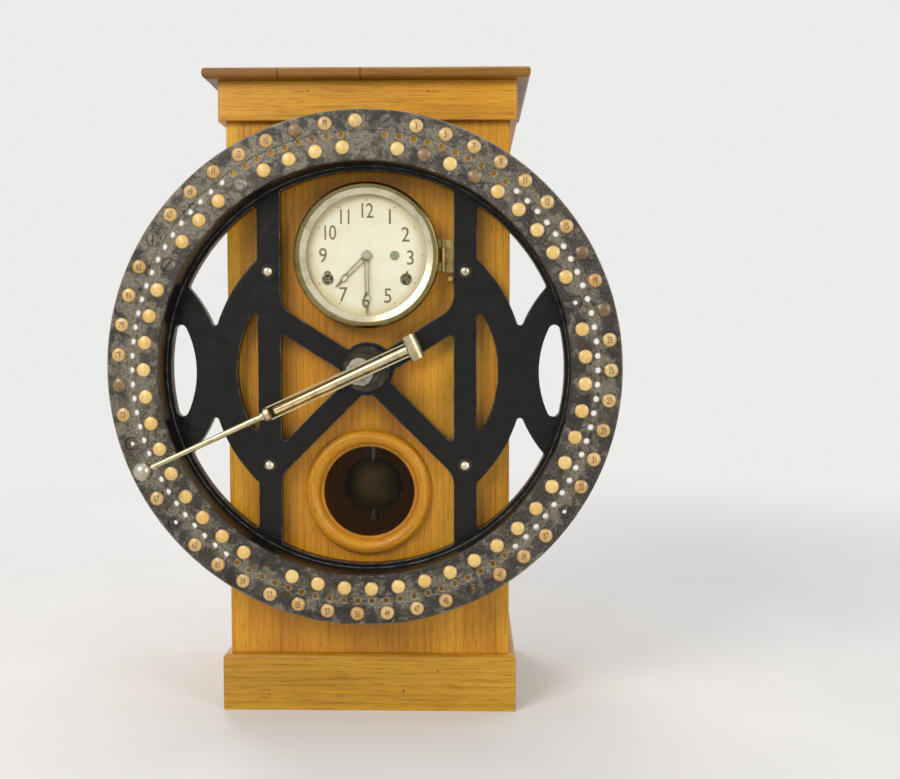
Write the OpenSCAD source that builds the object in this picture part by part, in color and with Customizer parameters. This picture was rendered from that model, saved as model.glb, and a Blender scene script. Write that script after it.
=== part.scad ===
// Dial time clock: an oak case with a clock dial, a large number ring on an iron frame,
// and a swinging arm whose pin is pressed into a guide hole to print the time on a sheet.
// Millimetres, +Z up, +X to the right as seen from the front, the front faces -Y.
// The origin lies on the floor under the middle of the case's front face.
// Inside front(), x is right, y is up and z counts outward from the case's front face.

/* [Case] */
// Width of the case body
case_w = 422; // [400:1:480]
// Depth of the case body
case_d = 300; // [290:1:380]
// Thickness of the side boards and the front panel
board_t = 20; // [16:1:24]
// Height of the plinth
plinth_h = 85; // [60:1:110]
// How far plinth and cornice stand out past the body
overhang = 10.5; // [5:0.5:20]
// Height of the underside of the cornice
cornice_z = 885; // [870:1:920]
// Height of the cornice
cornice_h = 58; // [40:1:80]
// Thickness of the cap board
cap_t = 16; // [10:1:24]
// How far the cap stands out past the cornice
cap_overhang = 18; // [8:1:30]
// Radius of the rounded wooden edges
edge_r = 6; // [2:0.5:8]
// Thickness of the back door
door_t = 16; // [12:1:20]
// Gap all round the back door
door_gap = 0.8; // [0.5:0.1:2]

/* [Number ring] */
// Height of the ring's centre above the floor
ring_z = 519; // [500:1:540]
// Outer radius of the ring
ring_r = 370; // [365:1:390]
// Width of the flat ring from its inner to its outer edge
ring_w = 72; // [69:1:78]
// Distance of the ring's face from the case front
ring_face = 70; // [64:1:90]
// Thickness of the ring
ring_t = 7; // [6:0.5:10]
// How many numbers the ring carries
numbers = 100; // [50:2:100]
// Distance of the guide holes from the ring's outer edge
guide_edge = 35; // [34:0.5:36]
// Diameter of a guide hole
guide_hole_d = 7.8; // [6.5:0.1:8.5]
// Width of the shallow groove along the guide holes
groove_w = 12; // [10:0.5:14]
// Depth of the groove
groove_depth = 1.2; // [0.5:0.1:2]
// Distance of the outer row of plugs from the guide holes
outer_row_gap = 18.3; // [18:0.1:20]
// Distance of the inner row of plugs from the guide holes
inner_row_gap = 17.8; // [17.8:0.1:20]
// Diameter of a number plug
plug_d = 20.5; // [16:0.1:20.5]
// How deep a plug sits in the ring
plug_depth = 4; // [2:0.5:5]
// How far a plug's dome stands out of the ring
plug_dome = 3; // [1:0.5:5]

/* [Frame casting] */
// Depth of the flat web of bars
web_t = 14; // [10:1:20]
// Distance of the back of the web from the case front
web_back = 8; // [5:1:14]
// Thickness of the rim wall
rim_t = 8; // [6:0.5:10]
// Width of the web's ledge inside the rim
rim_ledge = 7; // [2:0.5:9]
// Gap between the bezel and the upright bars
bar_gap = 21; // [20:1:26]
// Width of the upright bars
bar_w = 34; // [30:1:34]
// How far the fixing studs lie, in height, inside the ring's inner edge
stud_inset = 155; // [152:1:159]
// Width of the diagonal arms
diagonal_w = 32; // [24:1:36]
// Angle of the upper diagonal arms above the level
upper_angle = 32; // [30:1:34]
// Angle of the lower diagonal arms below the level
lower_angle = 45; // [42:1:47]
// How far below the ring's centre the arms' middle lines meet
arms_drop = 8; // [0:1:10]
// Radius of the wide corners between the diagonal arms and the upright bars
corner_r = 35; // [10:1:40]
// How far below the ring's centre the middle of the side members lies
sides_drop = 4; // [0:1:6]
// Width of the outer side member
side_w = 37.5; // [34:0.5:40]
// Radius of the rounded ends of the openings between outer side member and rim
side_end_r = 9; // [5:0.5:10]
// Radius of the frame's hub
frame_hub_r = 40; // [36:1:44]
// Diameter of the fixing studs
stud_d = 10; // [8:1:12]

/* [Clock] */
// Gap between the bezel and the ring's inner edge
dial_gap = 24; // [23:0.5:27]
// Gap between the bezel and the frame's hub
dial_hub_gap = 20; // [19:0.5:24]
// Width of the bezel, from its clear opening to its outer edge
bezel_w = 18; // [15:0.5:20]
// Distance of the bezel's front from the case front
bezel_face = 34; // [33:0.5:40]
// Sideways distance of a winding arbor from the dial's centre, as a share of the bezel's opening
arbor_side = 0.65; // [0.63:0.01:0.67]
// How far the winding arbors lie below the dial's centre, as such a share
arbor_low = 0.39; // [0.36:0.01:0.42]
// Length of the minute hand, as such a share
minute_share = 0.97; // [0.8:0.01:0.98]
// Length of the hour hand, as such a share
hour_share = 0.74; // [0.6:0.01:0.76]
// Gap between the window's moulding and the ring's inner edge
window_gap = 16.5; // [14:0.5:24]
// Gap between the window's moulding and the frame's hub
window_hub_gap = 50.5; // [46:0.5:60]
// Width of the round moulding at the window
moulding_w = 23; // [15:0.5:26]

/* [Arm] */
// Number that the arm points to at rest
arm_number = 69; // [1:1:100]
// Distance of the fulcrum behind the ring's centre
fulcrum_x = 79; // [70:1:90]
// Distance of the arm's axis from the case front
arm_h = 96; // [94:1:110]
// Travel of the guide pin when the ball is pressed
press_travel = 22; // [18:0.5:24]
// Diameter of the fixed arm tube
tube_d = 13; // [10:0.5:14]
// Diameter of the ball
ball_d = 27; // [20:0.5:30]
// Diameter of the guide pin
pin_d = 5.2; // [4:0.1:5.5]
// Diameter of the main spindle
spindle_d = 18; // [16:0.5:24]
// Diameter of the push rod inside the spindle
push_rod_d = 6; // [5:0.5:8]

/* [Works] */
// Radius of the record drum
drum_r = 95; // [80:1:98]
// Room between the record drum and the back door, for the bracket and the crank
back_room = 49; // [49:1:60]
// Distance of the drum's front disc from the case front
drum_y = 76; // [76:1:90]
// Distance of the movement's front plate from the case front
movement_y = 24; // [24:1:26]
// Gap between the two movement plates
movement_gap = 25; // [25:1:26]
// Thickness of a movement plate
plate_t = 3; // [2:0.5:4]
// Radius of the pendulum bob
bob_r = 45; // [30:1:50]
// Radius of the type wheels
type_r = 14; // [10:0.5:16]
// Radial clearance of a running fit
fit = 0.05; // [0.02:0.01:0.1]
// Clearance between pieces that pass each other
pass = 0.3; // [0.3:0.05:0.5]

/* [Hidden] */
$fn = 96;
eps = 0.01;

// Case
half_w = case_w / 2;
inner_w = half_w - board_t;
plinth_w = half_w + overhang;
top_z = cornice_z + cornice_h;

// Ring: two places at the top are left without a number
ring_in_r = ring_r - ring_w;
guide_circle_r = ring_r - guide_edge;
outer_row_r = guide_circle_r + outer_row_gap;
inner_row_r = guide_circle_r - inner_row_gap;
pitch = 360 / (numbers + 2);
function number_angle(n) = (n + 0.5) * pitch;
function on_circle(r, a) = [r * sin(a), r * cos(a)];
function place(n) = on_circle(abs(n) % 2 == 1 ? outer_row_r : inner_row_r, number_angle(n));
plug_r = plug_d / 2;
recess_r = plug_r + 0.1;
screw_numbers = [1, 84, 85, 92];
worn_numbers = [4, 8, 17, 21, 75, 97];
empty_numbers = [20, 35, 43, 58, 65, 71];
function in_list(n, list) = len([for (v = list) if (v == n) v]) > 0;
function is_plain(n) =
    !in_list(n, screw_numbers) && !in_list(n, worn_numbers) && !in_list(n, empty_numbers);

// Frame casting
web_front = web_back + web_t;
ring_back = ring_face - ring_t;
rim_out_r = ring_in_r + rim_t;
ledge_r = ring_in_r - rim_ledge;
flange_w = 8;
flange_t = 5;
hub_raise = 3;
stud_r = stud_d / 2;
boss_r = stud_r + 9;
nut_r = 8.5;

// Dial and window fill the room between the hub and the ring
bezel_r = (ring_in_r - frame_hub_r - dial_gap - dial_hub_gap) / 2;
bezel_in_r = bezel_r - bezel_w;
dial_rise = ring_in_r - dial_gap - bezel_r;
dial_z = ring_z + dial_rise;
bar_x = bezel_r + bar_gap + bar_w / 2;
stud_rise = ring_in_r - stud_inset;
arbor_x = arbor_side * bezel_in_r;
arbor_drop = arbor_low * bezel_in_r;
minute_len = minute_share * bezel_in_r;
hour_len = hour_share * bezel_in_r;
window_r = (ring_in_r - frame_hub_r - window_gap - window_hub_gap) / 2 - moulding_w;
window_z = ring_z - frame_hub_r - window_hub_gap - moulding_w - window_r;

// Arm, in the frame of the ring: x outward along the arm, y across it, z toward the front
arm_angle = 90 - number_angle(arm_number);
press_angle = asin(press_travel / (guide_circle_r + fulcrum_x));
tube_r = tube_d / 2;
rail_t = 2;
rail_y = tube_r + 1.5;
rail_out = rail_y + rail_t;
rail_h = 9;
eye_r = 11;
barrel_half = 18;
fulcrum_pin_r = 3;
collar_x = 142;
collar_len = 12;
rod_r1 = 4.8;
rod_r2 = 3.6;
post_w = 9;
yoke_posts = [-25, 38];
screw_places = [-6, 18];
tube_end = collar_x - 5;
ball_r = ball_d / 2;
pin_r = pin_d / 2;
pin_reach = arm_h - ring_back + 3;
spindle_r = spindle_d / 2;
push_r = push_rod_d / 2;
cross_pin_r = 2.5;
cross_pin_drop = 14;
button_t = 3.4;
yoke_front = arm_h - cross_pin_drop - cross_pin_r - button_t - 4;
yoke_t = 5;
hub_disc_h = 46;
hub_disc_t = 7;

// Works
drum_back = case_d - door_t - back_room;
drum_len = drum_back - drum_y;
bracket_y = drum_back + 12;
bracket_t = 8;
crank_y = bracket_y + bracket_t + 7;
crank_t = 5;
paper_t = 0.4;
arbor_r = 5;
centre_r = 3;
pinion_teeth = 16;
barrel_teeth = 64;
barrel_distance = norm([arbor_x, arbor_drop]);
barrel_module = 2 * barrel_distance / (pinion_teeth + barrel_teeth);
barrel_r = barrel_module * barrel_teeth / 2;
left_way = 180 + atan2(arbor_drop, arbor_x);
right_way = -atan2(arbor_drop, arbor_x);
movement_back = movement_y + 2 * plate_t + movement_gap;
cannon_teeth = 12;
minute_teeth = 36;
minute_pinion_teeth = 10;
hour_teeth = 40;
motion_distance = 24;
motion_way = 60;
cannon_module = 2 * motion_distance / (cannon_teeth + minute_teeth);
hour_module = 2 * motion_distance / (minute_pinion_teeth + hour_teeth);
type_teeth = 40;
press_rod = fulcrum_x * tan(press_angle);
type_x = -32;
type_gap = 1.25 * press_rod + pass;
type_distance = drum_r + 2 * paper_t + type_gap + type_r;
type_z = ring_z + sqrt(type_distance * type_distance - type_x * type_x);
type_spacing = norm([type_x, dial_z - type_z]);
type_way = atan2(type_z - dial_z, type_x);
crank_z = type_z + 26;
train_y = movement_back + 3;
train_t = 4;
pendulum_y = train_y + train_t + 6.5;
pendulum_r = 2.5;
pendulum_z = dial_z + 60;
swing_angle = 3;
loop_r = spindle_r + (pendulum_z - ring_z) * sin(swing_angle) + 3;
loop_w = 5;

// Clock dial
housing_r = bezel_r - 7;
housing_t = 4;
housing_face = bezel_face - 17;
dial_t = 1.5;
dial_face = housing_face + dial_t;
hand_t = 1;
hour_h = dial_face + 1.2;
minute_h = hour_h + hand_t + 0.6;
hinge_x = bezel_r + 5.7;
hinge_h = housing_face + 7;
knuckle_r = 3;
hinge_len = 48;
leaf_t = 2;
leaf_end = bar_x - bar_w / 2 - 2 * pass;
stop_x = leaf_end - 4;
stop_drop = 35;
hour_angle = 225;
minute_angle = 180;

// Back door
door_w = inner_w - door_gap;
door_low = plinth_h + door_gap;
door_high = cornice_z - door_gap;
hinge_axis_y = case_d + 3.3;
latch_x = inner_w - 23;
latch_z = ring_z;
tongue_len = 30;
tongue_t = 3;

module front(x = 0, z = 0) {
    translate([x, 0, z]) rotate([90, 0, 0]) children();
}

module on_ring() {
    front(0, ring_z) children();
}

module on_dial() {
    front(0, dial_z) children();
}

// The turning arm's own frame, in the pose of a pressed arm
module on_arm() {
    on_ring() rotate(arm_angle) children();
}

// The same frame with the lever let out to its rest pose
module on_lever() {
    on_arm() translate([-fulcrum_x, 0, arm_h]) rotate([0, -press_angle, 0]) children();
}

module along_x(x0, x1, r1, r2) {
    translate([x0, 0, 0]) rotate([0, 90, 0]) cylinder(h = x1 - x0, r1 = r1, r2 = r2);
}

module across_y(y0, y1, r) {
    translate([0, y1, 0]) rotate([90, 0, 0]) cylinder(h = y1 - y0, r = r);
}

module tube(h, r_out, r_in) {
    difference() {
        cylinder(h = h, r = r_out);
        translate([0, 0, -1]) cylinder(h = h + 2, r = r_in);
    }
}

// A block whose front and side edges are rounded at the top, and at the bottom where both is true
module rounded_block(half_x, y0, y1, z0, z1, r, both = false) {
    intersection() {
        translate([0, y1, 0]) rotate([90, 0, 0]) linear_extrude(y1 - y0) {
            round_rect(-half_x, half_x, z0, z1, r, both);
        }
        translate([-half_x - 1, 0, 0]) rotate([90, 0, 90]) linear_extrude(2 * half_x + 2) {
            round_rect(y0, y1 + 2 * r, z0, z1, r, both);
        }
        translate([-half_x - 1, y0 - 1, z0 - 1]) cube([2 * half_x + 2, y1 - y0 + 1, z1 - z0 + 2]);
    }
}

module round_rect(x0, x1, z0, z1, r, both) {
    low = both ? r : 0;
    translate([x0, z0 + low]) square([x1 - x0, z1 - z0 - r - low]);
    translate([x0 + r, z0]) square([x1 - x0 - 2 * r, z1 - z0]);
    for (x = [x0 + r, x1 - r]) translate([x, z1 - r]) circle(r, $fn = 48);
    if (both) for (x = [x0 + r, x1 - r]) translate([x, z0 + r]) circle(r, $fn = 48);
}

// Toothed wheel of plain tapered teeth, with a tooth centred on the phase angle
module gear(teeth, m, h, bore, phase = 0) {
    step = 360 / teeth;
    pitch_r = m * teeth / 2;
    root = pitch_r - 1.25 * m;
    tip = pitch_r + 0.8 * m;
    outline = [for (i = [0 : teeth - 1]) let (a = i * step)
        each [[root, a - 0.3 * step], [tip, a - 0.1 * step], [tip, a + 0.1 * step],
            [root, a + 0.3 * step]]];
    rotate(phase) difference() {
        linear_extrude(h) polygon([for (p = outline) [p[0] * cos(p[1]), p[0] * sin(p[1])]]);
        translate([0, 0, -1]) cylinder(h = h + 2, r = bore);
    }
}

// Phase of a wheel that meshes with another one lying the given way from it
function mesh_phase(phase, teeth, next_teeth, way) =
    way + 180 + 180 / next_teeth - (phase - way) * teeth / next_teeth;

cannon_phase = motion_way;
minute_wheel_phase = mesh_phase(cannon_phase, cannon_teeth, minute_teeth, motion_way);
hour_wheel_phase = mesh_phase(minute_wheel_phase, minute_pinion_teeth, hour_teeth, motion_way + 180);
centre_phase = left_way;

// Case

module plinth() {
    color("goldenrod") difference() {
        rounded_block(plinth_w, -overhang, case_d, 0, plinth_h, edge_r);
        translate([-inner_w - board_t / 2, board_t / 2, -1])
            cube([2 * inner_w + board_t, case_d - board_t * 1.5, plinth_h + 2]);
    }
}

module base_board() {
    thick = 12;
    color("peru") translate([-inner_w - board_t / 2, board_t / 2, plinth_h - 30])
        cube([2 * inner_w + board_t, case_d - board_t * 1.5, thick]);
}

module side_board(side) {
    x = side < 0 ? -half_w : inner_w;
    difference() {
        translate([x, 0, plinth_h]) cube([board_t, case_d, cornice_z - plinth_h]);
        if (side > 0) translate([inner_w - 1, case_d - door_t - 8, latch_z - tongue_len - 2])
            cube([tongue_len - 17, 8 + pass, tongue_len + 12]);
    }
}

module side_board_left() {
    color("darkgoldenrod") side_board(-1);
}

module side_board_right() {
    color("darkgoldenrod") side_board(1);
}

module front_panel() {
    color("chocolate") difference() {
        translate([-inner_w, 0, plinth_h]) cube([2 * inner_w, board_t, cornice_z - plinth_h]);
        on_dial() translate([0, 0, -board_t - 1]) cylinder(h = board_t + 2, r = housing_r + fit);
        front(0, window_z) translate([0, 0, -board_t - 1]) cylinder(h = board_t + 2, r = window_r - 4);
        front(0, window_z) translate([0, 0, -board_t - 1]) cylinder(h = board_t - 5, r = window_r + 4);
        on_ring() translate([0, 0, -board_t - 1]) cylinder(h = board_t + 2, r = spindle_r + 4);
        stud_places() translate([0, 0, -board_t - 1]) cylinder(h = board_t + 2, r = stud_r + fit);
    }
}

module window_moulding() {
    middle = window_r + moulding_w / 2;
    color("orange") front(0, window_z) rotate_extrude($fn = 144) translate([middle, 0])
        difference() {
            scale([1, 1.1]) circle(moulding_w / 2, $fn = 64);
            translate([-moulding_w, -2 * moulding_w]) square(2 * moulding_w);
        }
}

module window_glass() {
    color("lightcyan", 0.4) front(0, window_z) translate([0, 0, -9]) cylinder(h = 3, r = window_r + 3.5);
}

module cornice() {
    block = plinth_w;
    color("peru") difference() {
        translate([0, 0, cornice_z]) linear_extrude(cornice_h) {
            translate([-block, -overhang + edge_r]) square([2 * block, case_d + overhang - edge_r]);
            translate([-block + edge_r, -overhang]) square([2 * (block - edge_r), edge_r + 1]);
            for (x = [-1, 1]) translate([x * (block - edge_r), -overhang + edge_r])
                circle(edge_r, $fn = 48);
        }
        translate([-inner_w, board_t, cornice_z - 1])
            cube([2 * inner_w, case_d - 2 * board_t, cornice_h - 14]);
    }
}

module cap() {
    side = plinth_w + cap_overhang;
    color("saddlebrown")
        rounded_block(side, -overhang - cap_overhang, case_d, top_z, top_z + cap_t, edge_r, true);
}

module back_door() {
    color("chocolate") difference() {
        translate([-door_w, case_d - door_t, door_low])
            cube([2 * door_w, door_t, door_high - door_low]);
        translate([latch_x, case_d + 1, latch_z]) rotate([90, 0, 0]) cylinder(h = door_t + 2, r = 4 + fit);
    }
}

// Butt hinge places: height of each hinge's middle
hinge_inset = 110;
door_hinge_z = [plinth_h + hinge_inset, (plinth_h + cornice_z) / 2, cornice_z - hinge_inset];
door_hinge_len = 60;
door_leaf_w = 18;
door_leaf_t = 1.2;
middle_len = 26;

module door_knuckle(z0, z1) {
    translate([-inner_w, hinge_axis_y, z0]) cylinder(h = z1 - z0, r = knuckle_r);
}

module case_hinge_leaves() {
    half = middle_len / 2 - pass;
    color("darkkhaki") for (z = door_hinge_z) difference() {
        union() {
            translate([-inner_w - door_leaf_w, case_d, z - door_hinge_len / 2])
                cube([door_leaf_w - knuckle_r - 1, door_leaf_t, door_hinge_len]);
            translate([-inner_w - door_leaf_w, case_d, z - half])
                cube([door_leaf_w, door_leaf_t, 2 * half]);
            door_knuckle(z - half, z + half);
        }
        translate([-inner_w, hinge_axis_y, z - door_hinge_len]) {
            cylinder(h = 2 * door_hinge_len, r = knuckle_r / 2 + fit);
        }
    }
}

module door_hinge_leaves() {
    half = middle_len / 2;
    end = door_hinge_len / 2;
    color("darkkhaki") for (z = door_hinge_z) {
        difference() {
            translate([-door_w, case_d, z - end]) cube([door_leaf_w, door_leaf_t, door_hinge_len]);
            translate([-inner_w, hinge_axis_y, z - half]) cylinder(h = 2 * half, r = knuckle_r + 1);
        }
        for (side = [-1, 1]) {
            low = side < 0 ? z - end : z + half;
            door_knuckle(low, low + end - half);
            translate([-inner_w, case_d + eps, low]) cube([door_leaf_w / 2, door_leaf_t, end - half]);
        }
        translate([-inner_w, hinge_axis_y, z - end]) cylinder(h = door_hinge_len, r = knuckle_r / 2);
    }
}

module door_latch() {
    shank = door_t + 2;
    color("goldenrod") translate([latch_x, case_d, latch_z]) rotate([-90, 0, 0]) {
        translate([0, 0, 1]) cylinder(h = 4, r = 9);
        translate([0, 0, 5]) cylinder(h = 6, r1 = 5, r2 = 11);
        translate([0, 0, 11]) cylinder(h = 5, r = 11);
        translate([0, 0, -shank]) cylinder(h = shank + 2, r = 4);
        translate([-6, -6, -shank - tongue_t]) cube([12, tongue_len + 6, tongue_t]);
    }
}

// Number ring and its frame

module number_ring() {
    chamfer = 1;
    mid = guide_circle_r;
    color("dimgray") on_ring() difference() {
        rotate_extrude($fn = 240) polygon([
            [ring_in_r, ring_back], [ring_r, ring_back], [ring_r, ring_face - chamfer],
            [ring_r - chamfer, ring_face], [mid + groove_w / 2, ring_face],
            [mid + groove_w / 2 - groove_depth, ring_face - groove_depth],
            [mid - groove_w / 2 + groove_depth, ring_face - groove_depth],
            [mid - groove_w / 2, ring_face], [ring_in_r + chamfer, ring_face],
            [ring_in_r, ring_face - chamfer]]);
        for (n = [1 : numbers]) {
            translate(on_circle(guide_circle_r, number_angle(n))) translate([0, 0, ring_back - 1])
                cylinder(h = ring_t + 2, d = guide_hole_d, $fn = 24);
            translate(place(n)) translate([0, 0, ring_face - plug_depth])
                cylinder(h = plug_depth + 1, r = recess_r, $fn = 32);
        }
        translate(place(-1)) translate([0, 0, ring_face - plug_depth])
            cylinder(h = plug_depth + 1, r = recess_r, $fn = 32);
        for (n = empty_numbers) if (n <= numbers) translate(place(n)) translate([0, 0, ring_back - 1])
            cylinder(h = ring_t + 2, r = 3, $fn = 24);
    }
}

// A number plug: a disc with a shallow dome, standing on the floor of its recess
module plug(r) {
    base = ring_face - plug_depth;
    ball = (r * r + plug_dome * plug_dome) / (2 * plug_dome);
    rim = plug_depth + 0.4;
    translate([0, 0, base]) rotate_extrude($fn = 32) intersection() {
        square([r, rim + plug_dome]);
        union() {
            square([r, rim]);
            translate([0, rim + plug_dome - ball]) circle(ball, $fn = 180);
        }
    }
}

module outer_plugs() {
    color("wheat") on_ring() {
        for (n = [1 : 2 : numbers]) if (is_plain(n)) translate(place(n)) plug(plug_r);
        translate(place(-1)) plug(plug_r);
    }
}

module inner_plugs() {
    color("navajowhite") on_ring()
        for (n = [2 : 2 : numbers]) if (is_plain(n)) translate(place(n)) plug(plug_r);
}

module worn_plugs() {
    color("sienna") on_ring()
        for (n = worn_numbers) if (n <= numbers) translate(place(n)) plug(plug_r);
}

module ring_screws() {
    head_h = 2.2;
    color("gray") on_ring() for (n = screw_numbers) if (n <= numbers) {
        translate(place(n)) translate([0, 0, ring_face - plug_depth]) rotate(37 * n) difference() {
            union() {
                cylinder(h = plug_depth, r = plug_r);
                translate([0, 0, plug_depth]) cylinder(h = head_h, r1 = plug_r, r2 = plug_r - 3);
            }
            translate([-plug_r - 1, -1, plug_depth + head_h - 2]) cube([2 * plug_r + 2, 2, 4]);
        }
    }
}

module stud_places() {
    for (x = [-1, 1], y = [-1, 1]) on_ring() translate([x * bar_x, y * stud_rise, 0]) children();
}

// Side members of the frame, each arc as centre and radius in shares of the rim's inner radius:
// one bowed out from the bar, and one of even width bowed in from the rim
inner_arc = [-0.013, 0.768];
inner_arc_cut = [-0.076, 0.572];
outer_arc_cut = [-1.349, 0.498];

module disc_at(arc, more = 0) {
    translate([arc[0] * ring_in_r, -sides_drop]) circle(arc[1] * ring_in_r + more, $fn = 160);
}

module side_members() {
    difference() {
        disc_at(inner_arc);
        disc_at(inner_arc_cut);
        translate([-bar_x, -ring_r]) square(2 * ring_r);
    }
    intersection() {
        circle(ring_in_r, $fn = 160);
        disc_at(outer_arc_cut, side_w);
    }
}

// Opening between the outer side member and the rim, with rounded ends
module side_opening() {
    offset(side_end_r, $fn = 48) offset(-side_end_r, $fn = 48) intersection() {
        circle(ledge_r, $fn = 160);
        disc_at(outer_arc_cut);
    }
}

// A diagonal arm that rises to the right, with the wide corner where it meets the upright bar
module diagonal_arm(angle, drop) {
    side = bar_x - bar_w / 2;
    x = side - corner_r;
    middle = [x, (diagonal_w / 2 + corner_r + sin(angle) * x) / cos(angle) - drop];
    foot = middle + corner_r * [sin(angle), -cos(angle)];
    translate([0, -drop]) rotate(angle) translate([0, -diagonal_w / 2])
        square([bar_x / cos(angle), diagonal_w]);
    difference() {
        polygon([[side + 1, middle[1]], [side + 1, foot[1]], foot]);
        translate(middle) circle(corner_r, $fn = 120);
    }
}

module web_outline() {
    difference() {
        circle(ring_in_r + rim_t / 2, $fn = 120);
        circle(ledge_r, $fn = 180);
    }
    for (side = [-1, 1]) {
        intersection() {
            translate([side * bar_x - bar_w / 2, -ring_r]) square([bar_w, 2 * ring_r]);
            circle(ring_in_r, $fn = 160);
        }
        mirror([side > 0 ? 1 : 0, 0]) side_members();
        mirror([side < 0 ? 1 : 0, 0]) {
            diagonal_arm(upper_angle, arms_drop);
            mirror([0, 1]) diagonal_arm(lower_angle, -arms_drop);
        }
    }
    circle(frame_hub_r);
}

module ring_frame() {
    fillet = 5;
    color([0.08, 0.08, 0.09]) difference() {
        union() {
            on_ring() translate([0, 0, web_back]) linear_extrude(web_t) difference() {
                offset(-fillet, $fn = 24) offset(fillet, $fn = 24) web_outline();
                for (side = [0, 1]) mirror([side, 0]) side_opening();
            }
            on_ring() translate([0, 0, web_back]) tube(ring_back - web_back, rim_out_r, ring_in_r, $fn = 240);
            on_ring() translate([0, 0, ring_back - flange_t])
                tube(flange_t, rim_out_r + flange_w, ring_in_r + 1, $fn = 240);
            stud_places() cylinder(h = web_front, r = boss_r);
            on_ring() translate([0, 0, web_back]) cylinder(h = web_t + hub_raise, r = frame_hub_r - 8);
        }
        stud_places() translate([0, 0, -1]) cylinder(h = web_front + 2, r = stud_r + fit);
        on_ring() translate([0, 0, -1]) cylinder(h = web_front + 10, r = spindle_r + 4);
    }
}

module frame_fixings() {
    dome = 7;
    color("lightgray") stud_places() {
        translate([0, 0, -board_t - 10]) cylinder(h = board_t + web_front + 14, r = stud_r);
        translate([0, 0, web_front]) tube(1.5, nut_r + 2.5, stud_r);
        translate([0, 0, web_front + 1.5]) tube(5.5, nut_r, stud_r);
        translate([0, 0, web_front + 7]) difference() {
            scale([1, 1, dome / nut_r]) sphere(nut_r);
            translate([0, 0, -nut_r - 3]) cylinder(h = nut_r, r = nut_r + 1);
            translate([0, 0, -3 - eps]) cylinder(h = 3, r = nut_r + 1);
        }
        translate([0, 0, -board_t - 8]) difference() {
            cylinder(h = 8, r = nut_r, $fn = 6);
            translate([0, 0, -1]) cylinder(h = 10, r = stud_r);
        }
    }
}

// Spindle, arm and lever

module spindle_bushes() {
    color("goldenrod") {
        on_ring() translate([0, 0, -board_t - 3])
            tube(board_t + 3 + web_front + hub_raise + 4, spindle_r + 4, spindle_r + fit);
        on_ring() translate([0, 0, web_front + hub_raise]) tube(4, spindle_r + 8, spindle_r + fit);
        on_ring() translate([0, 0, -bracket_y - bracket_t]) tube(bracket_t, spindle_r + 3, spindle_r + fit);
    }
}

module spindle() {
    color("silver") on_ring() translate([0, 0, -bracket_y - bracket_t - 1])
        tube(bracket_y + bracket_t + 1 + yoke_front - yoke_t, spindle_r, push_r + fit);
}

module hub_disc() {
    outer = 32;
    beads = 40;
    color("gray") on_ring() {
        translate([0, 0, hub_disc_h]) tube(hub_disc_t, outer, spindle_r);
        translate([0, 0, hub_disc_h - 8]) tube(8, spindle_r + 9, spindle_r);
        translate([0, 0, hub_disc_h + hub_disc_t]) difference() {
            union() {
                cylinder(h = yoke_front - yoke_t - hub_disc_h - hub_disc_t, r = 23);
                for (i = [1 : beads]) rotate(i * 360 / beads) translate([23, 0, 0])
                    cylinder(h = yoke_front - yoke_t - hub_disc_h - hub_disc_t - 1, r = 1.4, $fn = 16);
            }
            translate([0, 0, -1]) cylinder(h = 40, r = spindle_r);
        }
    }
}

// Plate on the spindle's end that carries the fixed tube on two posts
module arm_yoke() {
    color("lightgray") on_arm() {
        difference() {
            translate([0, 0, yoke_front - yoke_t]) linear_extrude(yoke_t) {
                for (side = [-1, 1]) scale([1, side]) polygon([[-30, 0], [-26, 7], [-11, 9], [-4, 17],
                    [2, 20], [9, 20], [13, 18], [24, 10], [45, 7], [48, 0]]);
            }
            translate([0, 0, yoke_front - yoke_t - 1]) cylinder(h = yoke_t + 2, r = push_r + fit);
        }
        for (x = yoke_posts) translate([x - post_w / 2, -post_w / 2, yoke_front - eps])
            cube([post_w, post_w, arm_h + 2 - tube_r / 2 - yoke_front]);
    }
}

module yoke_screws() {
    color("goldenrod") on_arm() for (x = screw_places, side = [-1, 1]) {
        translate([x, 11 * side, yoke_front]) cylinder(h = 2.2, r = 3.6, $fn = 32);
    }
}

module arm_tube() {
    color("silver") on_arm() translate([0, 0, arm_h + 2]) difference() {
        union() {
            along_x(-fulcrum_x + eye_r - 2, tube_end - 2, tube_r, tube_r);
            along_x(tube_end - 2 - eps, tube_end, tube_r, tube_r - 1.5);
        }
        for (x = yoke_posts) translate([x - post_w / 2, -post_w / 2, -tube_r - 1])
            cube([post_w, post_w, tube_r / 2 + 1]);
        translate([-fulcrum_x, 0, -2]) across_y(-rail_y, rail_y, eye_r);
    }
}

module fulcrum_barrel() {
    color("gray") on_arm() translate([-fulcrum_x, 0, arm_h]) difference() {
        across_y(-rail_y + pass, rail_y - pass, eye_r);
        across_y(-rail_y - 1, rail_y + 1, fulcrum_pin_r);
    }
}

module fulcrum_pin() {
    ribs = 3;
    rib_w = (barrel_half - rail_out - pass) / (2 * ribs);
    color("gray") on_arm() translate([-fulcrum_x, 0, arm_h]) {
        across_y(-barrel_half, barrel_half, fulcrum_pin_r);
        for (side = [0, 1]) mirror([0, side, 0]) {
            across_y(rail_out + pass, barrel_half, eye_r - 1.2);
            for (i = [0 : ribs - 1]) {
                low = rail_out + pass + 2 * i * rib_w;
                across_y(low, low + rib_w, eye_r);
            }
        }
    }
}

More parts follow.
